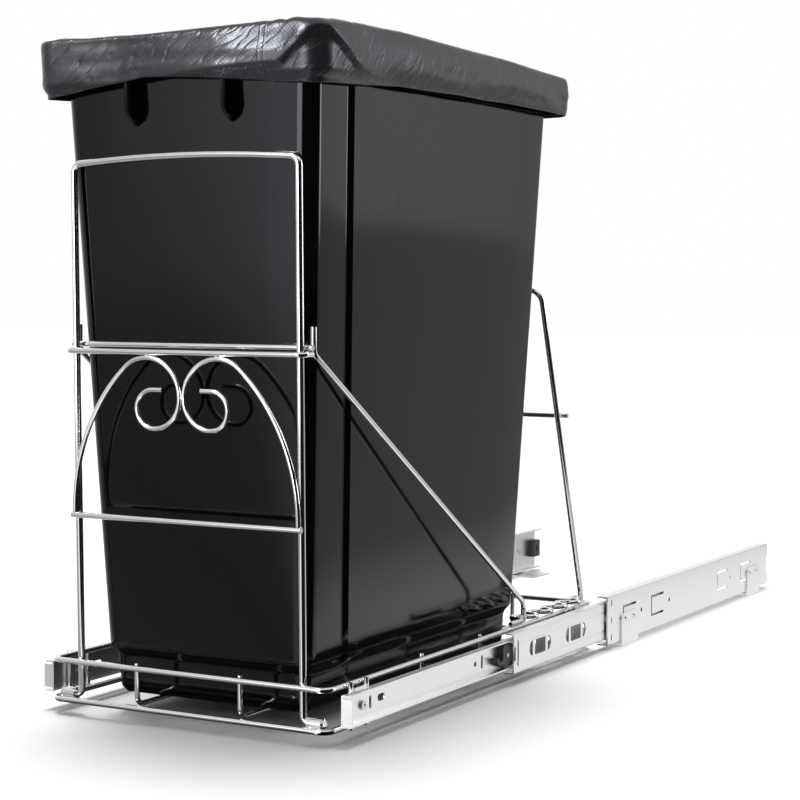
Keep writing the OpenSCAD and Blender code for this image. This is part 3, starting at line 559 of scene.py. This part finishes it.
def bin_rings():
    shoulder, step = bin_z + base_h, bin_z + base_h + step_h
    under, skirt = bin_top - wall, bin_top - skirt_h
    outside = [(wall_ring, bin_z, base_in + foot_in, 0), (wall_ring, bin_z + foot_h, base_in, 0),
        (wall_ring, shoulder, base_in, 0), (wall_ring, step, 0, groove_in),
        (wall_ring, under, 0, groove_in)]
    rim = [(rim_ring, under, rim_out - wall, 0), (rim_ring, skirt, rim_out - wall, 0),
        (rim_ring, skirt, rim_out, 0), (rim_ring, bin_top, rim_out, 0), (rim_ring, bin_top, rim_out / 2, 0)]
    inside = [(wall_ring, bin_top, wall, groove_in), (wall_ring, step, wall, groove_in),
        (wall_ring, shoulder, base_in + wall, 0), (wall_ring, bin_z + wall, base_in + wall, 0)]
    rows = rounded(outside, wall_round) + rounded(rim, rim_round) + rounded(inside, wall_round)
    return [make(z, t, d) if make is wall_ring else make(z, t) for make, z, t, d in rows]


rings = bin_rings()
print("outlines in the bin:", len(rings))

# %% [markdown]
# ## Hook ribs
# Two small ribs stand under the rim at the front and tie its skirt to the wall. Each is a flat plate with its
# lower front corner cut off and its edges softened. A boolean could fuse them with the wall, but they only
# have to stand in it, as nobody sees the joint, and the loft keeps its clean faces.

# %% Hook ribs
rib_x, rib_w, rib_drop, rib_round = 0.043, 0.004, 0.035, 0.0007
cut_h, cut_in, cut_low = 0.012, 0.004, 0.005


def hook_rib(bm, x, w):
    """Plate under the rim at x, from the skirt back to the wall, its lower front corner cut off."""
    foot, top = bin_top - skirt_h - rib_drop, bin_top - wall / 2
    front = bin_y - top_l / 2 - rim_out + wall / 2
    back_low, back_top = (bin_y - wall_size(z)[1] / 2 + wall / 2 for z in (foot, top))
    cut = [(front, foot + cut_h), (front + cut_in, foot + cut_low)]
    side = cut + [(back_low, foot), (back_top, top), (front, top)]
    left = [bm.verts.new((x - w / 2, y, z)) for y, z in side]
    right = [bm.verts.new((x + w / 2, y, z)) for y, z in side]
    faces = [bm.faces.new(left), bm.faces.new(reversed(right))]
    for i in range(len(side)):
        j = (i + 1) % len(side)
        faces.append(bm.faces.new((left[i], right[i], right[j], left[j])))
    bmesh.ops.recalc_face_normals(bm, faces=faces)
    edges = {e for f in faces for e in f.edges}
    bmesh.ops.bevel(bm, geom=list(edges), offset=rib_round, segments=3, affect="EDGES")


print("ribs hang %.0f mm below the skirt, at x = %.0f mm either side" % (rib_drop * 1000, rib_x * 1000))

# %% [markdown]
# ## Bin piece
# Now the outlines are joined to a wall, both ends are closed, the ribs are added, and the faces are shaded
# smooth except at sharp edges. The piece rides with the bin's body and takes the place of the plain solid,
# so it moves as the solid does.

# %% Bin piece
sharp_angle = 38


def loft(name, rings):
    """Mesh through outlines of equal count, closed at both ends."""
    mesh = bpy.data.meshes.new(name)
    count = len(rings[0][1])
    verts = [(x, y + bin_y, z) for z, ring in rings for x, y in ring]
    faces = []
    for row in range(0, (len(rings) - 1) * count, count):
        for i in range(count):
            j = (i + 1) % count
            faces.append((row + i, row + j, row + count + j, row + count + i))
    faces.append(tuple(reversed(range(count))))
    faces.append(tuple((len(rings) - 1) * count + i for i in range(count)))
    mesh.from_pydata(verts, [], faces)
    return mesh


def bin_moulding():
    mesh = loft("bin_moulding", rings)
    bm = bmesh.new()
    bm.from_mesh(mesh)
    for x in (-rib_x, rib_x):
        hook_rib(bm, x, rib_w)
    for f in bm.faces:
        f.smooth = True
    bm.to_mesh(mesh)
    bm.free()
    mesh.set_sharp_from_angle(angle=math.radians(sharp_angle))
    mesh.materials.append(finishes["bin_plastic"])
    piece = bpy.data.objects.new("bin_moulding", mesh)
    scene.collection.objects.link(piece)
    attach(piece, "bin")
    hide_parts("bin")
    return piece


bin_piece = bin_moulding()
print("bin moulding faces:", len(bin_piece.data.polygons))

# %% [markdown]
# ## Bag film
# The bag is thin black film with a pressed diamond pattern. It hangs loosely inside the bin, and its mouth
# is turned out over the rim as a cuff, where it lies in creases and bunches at one front corner. The film's
# finish is drawn on the flat sheet, by distance round the mouth and up from the hem: diagonal pressed lines,
# slanted creases and the pair of folds that a bag keeps from its roll. A picture of film could be laid over
# the sheet, but formulas on the flat sheet follow every fold and need no file.

# %% Bag film
press_pitch, roll_fold, fold_half = 0.0034, -0.040, 0.0022
slant_run, slant_rise, slant_stretch = 0.64, 0.77, 0.3


def film(t):
    flat = t.node("ShaderNodeUVMap")
    u, v = (t.node("ShaderNodeSeparateXYZ", None, {0: flat}, out=i) for i in range(2))
    k = math.tau / press_pitch
    lattice = ((u + v) * k).math("SINE").math("MAXIMUM", ((u - v) * k).math("SINE"))
    press = t.span(lattice, 0.3, 1.0)
    pair = ((u - roll_fold).math("ABSOLUTE") - fold_half).math("ABSOLUTE")
    fold = t.span(pair, 0.0003, 0.0012, 1.0, 0.0)
    across, onward = u * slant_run - v * slant_rise, u * slant_rise + v * slant_run
    slanted = t.node("ShaderNodeCombineXYZ", None, {0: across, 1: onward * slant_stretch})
    crumple = t.noise(slanted, 60, 2)
    fine = t.noise(t.place((1, 1, 0.7)), 110, 2)
    crease = t.span((crumple - 0.5).math("ABSOLUTE"), 0.0, 0.05)
    soft = t.bump(crease + fine * 0.3 + fold * 0.8, 0.16, 0.002)
    bump = t.bump(press, 0.12, 0.0003, soft)
    tint = t.mix(crumple, (0.006, 0.006, 0.007, 1), (0.014, 0.014, 0.016, 1))
    return t.node("ShaderNodeBsdfPrincipled", None, {"Base Color": tint,
        "Roughness": fine * 0.10 + 0.28 - press * 0.06, "IOR": 1.6, "Normal": bump,
        "Specular Tint": (0.88, 0.90, 1.0, 1)})


finishes["liner_film"] = finish("liner_film", film)
print("film nodes:", len(finishes["liner_film"].node_tree.nodes))

# %% [markdown]
# ## Bag cuff
# A few short tables along the rim say where the hem hangs, where the top edge runs, where the upper layer is
# tucked under at the front corner and how far the film stands out. A cloth simulation would drape the film
# as well, but it wouldn't put the tuck where this bag has it.

# %% Bag cuff
# Height of the hem and of the cuff's top by distance round the rim from the front right corner
hem_line = ((-0.40, 0.479), (-0.245, 0.4735), (-0.145, 0.4845), (-0.06, 0.479), (-0.03, 0.4755),
    (0.0, 0.4735), (0.11, 0.481), (0.28, 0.4835), (0.41, 0.4835), (0.60, 0.480))
top_line = ((-0.40, 0.5165), (-0.145, 0.516), (-0.06, 0.518), (0.0, 0.518), (0.05, 0.5205), (0.11, 0.522),
    (0.28, 0.520), (0.41, 0.516), (0.60, 0.5165))
# Edge of the upper layer at the tuck, and how far that layer stands out
tuck_line = ((-0.30, 0.470), (-0.082, 0.484), (-0.060, 0.4865), (-0.026, 0.4875), (-0.012, 0.500),
    (0.0, 0.5135), (0.012, 0.505), (0.045, 0.486), (0.075, 0.478), (0.30, 0.470))
tuck_out = ((-0.17, 0.0), (-0.12, 0.0040), (-0.08, 0.0066), (-0.015, 0.0048), (0.015, 0.0048),
    (0.05, 0.0024), (0.10, 0.0))
# How far the cuff swells between hem and top
puff_line = ((-0.245, 0.0), (-0.19, 0.05), (-0.13, 0.2), (-0.07, 0.8), (-0.02, 0.6), (0.05, 0.9),
    (0.15, 1.4), (0.30, 1.3), (0.42, 0.5))


def along(line, turn):
    """Height or reach at a place round the rim, from a table of straight runs."""
    for (a, p), (b, q) in zip(line, line[1:]):
        if turn <= b:
            return p + (q - p) * max(0.0, turn - a) / (b - a)
    return line[-1][1]


corner_cuff = along(top_line, 0.0) - along(hem_line, 0.0)
print("cuff at the front right corner: %.1f mm high" % (corner_cuff * 1000))

# %% [markdown]
# ## Places round the rim
# Every row of the bag has the same places round the bin: four sides and four corner arcs, with a place about
# every three millimetres. A grid laid over the bin from above would be simpler, but it would cut across the
# corners, where the film bunches most.

# %% Places round the rim
def ring_stations(step):
    """Places round the rim as (piece of outline, share along it): four sides and four corner arcs."""
    runs = [top_l + 2 * rim_out - 2 * rim_corner, math.pi * rim_corner / 2,
        top_w + 2 * rim_out - 2 * rim_corner, math.pi * rim_corner / 2] * 2
    made = []
    for k, run in enumerate(runs):
        count = max(6, round(run / step))
        made += [(k, i / count) for i in range(count)]
    return made


def ring_point(w, l, r, station):
    """Point and outward direction of a station on a rounded rectangle."""
    k, share = station
    sx, sy = ((1, -1), (1, 1), (-1, 1), (-1, -1))[((k + 1) // 2) % 4]
    if k % 2:
        a = (k // 2 + share) * math.pi / 2
        n = Vector((math.cos(a), math.sin(a), 0))
        return Vector((sx * (w / 2 - r), sy * (l / 2 - r), 0)) + n * r, n
    side = k // 2
    n = Vector(((1, 0, 0), (0, 1, 0), (-1, 0, 0), (0, -1, 0))[side])
    sideways = Vector((-n.y, n.x, 0))
    half = (l / 2 - r) if side % 2 == 0 else (w / 2 - r)
    reach = w / 2 if side % 2 == 0 else l / 2
    return n * reach + sideways * half * (2 * share - 1), n


station_step = 0.003
stations = ring_stations(station_step)
print("places round the rim:", len(stations))

# %% [markdown]
# ## Rows of the bag
# The bag is one sheet in rows: up the cuff from its hem, over the rim, down the inside of the wall and across
# the floor. It could be two pieces, a cuff and a bag, but a real bag is one film, and one sheet has no seam.

# %% Rows of the bag
cuff_rows, rim_rows, wall_rows, floor_rows = 45, 9, 34, 8
film_gap, bend, straight = 0.0010, 0.003, 0.93


def bag_rows():
    """Rows of (kind, share or height, width, length, corner), from the hem to the floor of the bag."""
    out, inner = rim_out + film_gap, wall + groove_in + film_gap
    rows = []

    def cuff_row(share, t):
        rows.append(("cuff", share, top_w + 2 * t, top_l + 2 * t, rim_corner - rim_out + t))

    for i in range(cuff_rows + 1):
        cuff_row(straight * i / cuff_rows, out)
    for a in (math.radians(30), math.radians(60), math.radians(90)):
        cuff_row(straight + (1 - straight) * math.sin(a), out - bend * (1 - math.cos(a)))
    for i in range(1, rim_rows + 1):
        k = i / rim_rows
        t = (out - bend) * (1 - k) - inner * k
        r = (rim_corner - rim_out + out - bend) * (1 - k) + corner_r * k
        rows.append(("rim", k, top_w + 2 * t, top_l + 2 * t, r))
    top, floor_z = bin_top + film_gap, bin_z + wall + film_gap
    for i in range(wall_rows + 1):
        z = top - bend + (floor_z - top + bend) * i / wall_rows
        low = max(0.0, min(1.0, (bin_z + base_h + step_h + 0.01 - z) / step_h))
        t = inner + base_in * low
        w, l = wall_size(z)
        rows.append(("inside", z, w - 2 * t, l - 2 * t, corner_r))
    kind, z, w, l, r = rows[-1]
    for i in range(1, floor_rows + 1):
        k = 1 - i / (floor_rows + 1)
        rows.append(("floor", z, w * k, l * k, r * k))
    return rows


rows = bag_rows()
print("rows of the bag:", len(rows))

# %% [markdown]
# ## Folds and tuck
# Here each point of the sheet gets its place. On the cuff the film swells between hem and top, the upper
# layer stands out above the tuck, and slanted creases cross it. Inside, the film hangs in loose folds. Smooth
# noise makes the folds: it is the same every time, and it needs no settling as a simulation would.

# %% Folds and tuck
# Depth of the swelling and of each kind of crease on the cuff
swell, fold_deep, slant_deep, pull_deep = 0.0034, 0.0010, 0.0007, 0.0002
# Depth of the loose folds inside, and how far below the rim they are fully loose
loose_deep, ripple_deep, loose_from = 0.007, 0.003, 0.12
# Height of the bunched peaks, reach of the hem's curl and softness of the tuck's edge
peak_h, curl_in, curl_h, edge_soft = 0.0035, 0.004, 0.008, 0.0009


def bag_spot(p, n, kind, level, turn):
    """Where a point of the bag lies: cuff between hem and top with its tuck, loose folds inside."""
    fold = noise.noise(Vector((p.x * 14, p.y * 14, level * 4)))
    crease = noise.noise(Vector((p.x * 60 + 7, p.y * 60, level * 3)))
    hem, top = along(hem_line, turn), along(top_line, turn)
    # The film bunches at the front right corner and, less, at the front left one
    gathered = math.exp(-(turn / 0.045) ** 2) + 0.7 * math.exp(-((turn + 0.228) / 0.028) ** 2)
    peak = peak_h * abs(noise.noise(Vector((turn * 90, 5.3, 1.9)))) * gathered
    if kind == "cuff":
        z = hem + (top + peak - hem) * level
        slant = noise.noise(Vector((turn * 22 + z * 45, z * 26, 3.7)))
        pull = noise.noise(Vector((turn * 70 - z * 60, z * 30, 8.2)))
        puff = swell * math.sin(math.pi * level) ** 0.8 * along(puff_line, turn)
        out = puff + fold_deep * (fold + 0.5) + slant_deep * (slant + 0.5) + pull_deep * (pull + 0.4)
        curl = min(1.0, max(0.0, (bin_top - skirt_h - z) / curl_h)) ** 2 * curl_in
        edge = along(tuck_line, turn)
        lean = 1 - 0.85 * max(0.0, z - edge) / max(0.004, top - edge)
        over = lean / (1 + math.exp(-(z - edge) / edge_soft))
        q = p + n * (max(0.0, out) - curl + along(tuck_out, turn) * over)
        return Vector((q.x, q.y, z + fold_deep * fold * (1 - level)))
    if kind == "rim":
        rise = noise.noise(Vector((p.x * 30, p.y * 30, 9.1)))
        lift = (top + peak - bin_top - film_gap) * (0.4 + 0.6 * rise)
        return Vector((p.x, p.y, bin_top + film_gap + max(0.0, lift + 0.0014 * (crease + 0.4))))
    if kind == "inside":
        loose = 0.1 + min(1.0, (bin_top - level) / loose_from)
        q = p - n * max(0.0, (loose_deep * (fold + 0.5) + ripple_deep * (crease + 0.5)) * loose)
        return Vector((q.x, q.y, level))
    return Vector((p.x, p.y, level + max(0.0, 0.005 * (fold + 0.4))))


sample = bag_spot(Vector((0, 0, 0)), Vector((1, 0, 0)), "cuff", 0.5, 0.1)
print("half way up the cuff the film can stand %.1f mm off the rim" % (sample.x * 1000))

# %% [markdown]
# ## Bag sheet
# The rows are joined to one sheet with a flat layout, distance round the mouth by distance from the hem,
# which the film's finish uses. Blender could unwrap the sheet by itself, but then the pressed pattern would
# turn and stretch from one side of the bin to the next.

# %% Bag sheet
def bag_mesh():
    count = len(stations)
    ring = [ring_point(top_w + 2 * rim_out, top_l + 2 * rim_out, rim_corner, s)[0] for s in stations]
    around = [0.0]
    for a, b in zip(ring, ring[1:] + ring[:1]):
        around.append(around[-1] + (b - a).length)
    corner = around[-1] - math.pi * rim_corner / 4
    turns = [(a - corner + around[-1] / 2) % around[-1] - around[-1] / 2 for a in around[:-1]]
    ahead = [t + b - a for t, a, b in zip(turns, around, around[1:])]
    verts, down = [], [0.0]
    for kind, level, w, l, r in rows:
        for s, turn in zip(stations, turns):
            p, n = ring_point(w, l, r, s)
            verts.append(bag_spot(Vector((p.x, p.y + bin_y, 0)), n, kind, level, turn))
        if len(verts) > count:
            down.append(down[-1] + (verts[-count] - verts[-2 * count]).length)
    mesh = bpy.data.meshes.new("bag_liner")
    faces, flat = [], []
    for k in range(len(rows) - 1):
        for i in range(count):
            j = (i + 1) % count
            faces.append((k * count + i, k * count + j, (k + 1) * count + j, (k + 1) * count + i))
            near, far = down[k], down[k + 1]
            flat += [(turns[i], near), (ahead[i], near), (ahead[i], far), (turns[i], far)]
    last = (len(rows) - 1) * count
    faces.append(tuple(last + i for i in range(count)))
    flat += [(t, down[-1]) for t in turns]
    mesh.from_pydata([tuple(v) for v in verts], [], faces)
    layer = mesh.uv_layers.new(name="film")
    for loop, spot in zip(layer.data, flat):
        loop.uv = spot
    return mesh, around[-1], down[-1]


bag_sheet, girth, depth = bag_mesh()
print("bag sheet faces:", len(bag_sheet.polygons))

# %% [markdown]
# ## Bag piece
# An open sheet has no thickness, so a solidify step gives the film one, and the result is kept as plain mesh.
# The bag rides with the bin and takes the place of the plain solid. Its size when laid flat is given as well:
# a little more than the rim's length, so that the mouth slips over it, and some length that lies gathered
# in folds.

# %% Bag piece
film_t, mouth_slack, gathered_length = 0.0004, 1.02, 0.09


def hang_bag(mesh):
    for f in mesh.polygons:
        f.use_smooth = True
    mesh.materials.append(finishes["liner_film"])
    draft = bpy.data.objects.new("bag_draft", mesh)
    scene.collection.objects.link(draft)
    skin = draft.modifiers.new("film", "SOLIDIFY")
    skin.thickness, skin.offset = film_t, 0
    made = bpy.data.meshes.new_from_object(draft.evaluated_get(bpy.context.evaluated_depsgraph_get()))
    bpy.data.objects.remove(draft)
    piece = bpy.data.objects.new("bag_liner", made)
    scene.collection.objects.link(piece)
    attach(piece, "bin")
    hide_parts("liner")
    return piece


bag_piece = hang_bag(bag_sheet)
print("bag film faces:", len(bag_piece.data.polygons))

# %% [markdown]
# ## Points along a wire
# The wires are resistance welded where they cross, and each weld squeezes out a small bright bead. The
# places could be listed by hand, but the list would be wrong after any change, so they are found on the
# solids. First, points are set along the edges of a wire's mesh, so close that no crossing is missed.

# %% Points along a wire
def edge_points(node, step=0.0015):
    """Points along the edges of a solid, close enough together to catch a crossing wire."""
    mesh = node.data
    spots = np.array([node.matrix_world @ v.co for v in mesh.vertices])
    made = []
    for edge in mesh.edges:
        a, b = spots[edge.vertices[0]], spots[edge.vertices[1]]
        count = max(1, int(np.linalg.norm(b - a) / step))
        made.append(a + (b - a) * (np.arange(count)[:, None] / count))
    return np.concatenate(made)


print("points on the upper rim:", len(edge_points(nodes["top_rim"])))

# %% [markdown]
# ## Weld spots
# A point of one wire that lies close to another wire of the same body belongs to a weld, and points that lie
# together are one spot. The rear bar stands half a millimetre off its hoop, so its spots are sought from
# further away. One distance for all would weld the front hoop to the rim that it only stands beside.

# %% Weld spots
weld_gaps = {"basket": 0.00016, "brace": 0.00016, "rear_hoop": 0.0006}


def weld_spots(names, gap, apart=0.007):
    """Spots where two wires come closer than the gap. A long seam keeps only its two ends."""
    trees, points = {}, {}
    for n in names:
        mesh = nodes[n].data
        trees[n] = BVHTree.FromPolygons([nodes[n].matrix_world @ v.co for v in mesh.vertices],
            [tuple(f.vertices) for f in mesh.polygons])
        points[n] = edge_points(nodes[n])
    welds = []
    for a, b in itertools.permutations(names, 2):
        low_b, high_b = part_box(b)
        above, below = points[a] > np.array(low_b) - gap, points[a] < np.array(high_b) + gap
        hits, found = [], []
        for spot in points[a][np.all(above & below, axis=1)]:
            hit = trees[b].find_nearest(Vector(spot), gap)
            near, distance = hit[0], hit[3]
            if near is not None:
                hits.append((distance, tuple((Vector(spot) + near) / 2)))
        for distance, spot in sorted(hits):
            if all((Vector(spot) - w).length > apart for w in found):
                found.append(Vector(spot))
        if len(found) > 3:
            far = max(found, key=lambda w: (w - found[0]).length)
            found = [max(found, key=lambda w: (w - far).length), far]
        welds += [w for w in found if all((w - o).length > apart * 0.7 for o in welds)]
    return welds


spots_of = {}
for body, gap in weld_gaps.items():
    wires = [n for n in frame["record"]["behaviour"]["bodies"][body]
        if slot_of[n] == "chrome_wire" or n == "slide_tabs"]
    spots_of[body] = weld_spots(wires, gap)
print("welds:", {body: len(spots) for body, spots in spots_of.items()})

# %% [markdown]
# ## Bead tree
# A bead is a small ball pushed out of round by noise. The tree sets one on every spot, turned and sized a
# little differently each time from a fixed seed, so fifty welds need one ball and no copying by hand.

# %% Bead tree
def bead_tree():
    tree = bpy.data.node_groups.new("weld_beads", "GeometryNodeTree")
    face = tree.interface
    face.new_socket("Geometry", in_out="INPUT", socket_type="NodeSocketGeometry")
    size = face.new_socket("Bead Size", in_out="INPUT", socket_type="NodeSocketFloat")
    seed = face.new_socket("Seed", in_out="INPUT", socket_type="NodeSocketInt")
    metal = face.new_socket("Metal", in_out="INPUT", socket_type="NodeSocketMaterial")
    face.new_socket("Geometry", in_out="OUTPUT", socket_type="NodeSocketGeometry")

    def add(kind, settings=None, **links):
        n = tree.nodes.new(kind)
        for key, value in (settings or {}).items():
            setattr(n, key, value)
        for key, value in links.items():
            socket = n.inputs[key.replace("_", " ")]
            if isinstance(value, bpy.types.NodeSocket):
                tree.links.new(value, socket)
            else:
                socket.default_value = value
        return n

    given = add("NodeGroupInput").outputs
    ball = add("GeometryNodeMeshIcoSphere", Radius=1.0, Subdivisions=3).outputs["Mesh"]
    lumps = add("ShaderNodeTexNoise", Scale=1.6, Detail=2.0).outputs["Color"]
    shift = add("ShaderNodeVectorMath", {"operation": "SUBTRACT"}).inputs
    tree.links.new(lumps, shift[0])
    shift[1].default_value = (0.5, 0.5, 0.5)
    offset = shift[0].node.outputs[0]
    bead = add("GeometryNodeSetPosition", Geometry=ball, Offset=offset).outputs["Geometry"]
    turn = add("FunctionNodeRandomValue", {"data_type": "FLOAT_VECTOR"}, Seed=given["Seed"])
    turn.inputs["Max"].default_value = (math.tau, math.tau, math.tau)
    grow = add("FunctionNodeRandomValue", {"data_type": "FLOAT"}, Seed=given["Seed"])
    grow.inputs[2].default_value, grow.inputs[3].default_value = 0.85, 1.15
    scale = add("ShaderNodeMath", {"operation": "MULTIPLY"})
    tree.links.new(grow.outputs[1], scale.inputs[0])
    tree.links.new(given["Bead Size"], scale.inputs[1])
    set_out = add("GeometryNodeInstanceOnPoints", Points=given["Geometry"], Instance=bead,
        Rotation=turn.outputs[0], Scale=scale.outputs[0])
    plain = add("GeometryNodeRealizeInstances", Geometry=set_out.outputs["Instances"])
    smooth = add("GeometryNodeSetShadeSmooth", Geometry=plain.outputs["Geometry"])
    dressed = add("GeometryNodeSetMaterial", Geometry=smooth.outputs["Geometry"], Material=given["Metal"])
    add("NodeGroupOutput", Geometry=dressed.outputs["Geometry"])
    return tree, size.identifier, seed.identifier, metal.identifier


beads, size_id, seed_id, metal_id = bead_tree()
print("bead tree nodes:", len(beads.nodes))

# %% [markdown]
# ## Beads on each body
# The basket, the brace and the rear hoop move apart from each other. All beads could be one piece, but it
# would tear when one of them moves, so each body gets a piece of its own, which rides with it. The tree is
# turned into plain mesh, because a library part shouldn't depend on modifiers.

# %% Beads on each body
bead_size, bead_seed = 0.0014, 4
for body, spots in spots_of.items():
    cloud = bpy.data.meshes.new(body + "_welds")
    cloud.from_pydata([tuple(w) for w in spots], [], [])
    draft = bpy.data.objects.new(body + "_draft", cloud)
    scene.collection.objects.link(draft)
    layer = draft.modifiers.new("beads", "NODES")
    layer.node_group = beads
    layer[size_id], layer[seed_id], layer[metal_id] = bead_size, bead_seed, weld_finish
    made = bpy.data.meshes.new_from_object(draft.evaluated_get(bpy.context.evaluated_depsgraph_get()))
    bpy.data.objects.remove(draft)
    piece = bpy.data.objects.new(body + "_welds", made)
    scene.collection.objects.link(piece)
    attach(piece, body)
    print(body, "welds:", len(spots), "faces:", len(made.polygons))

# %% [markdown]
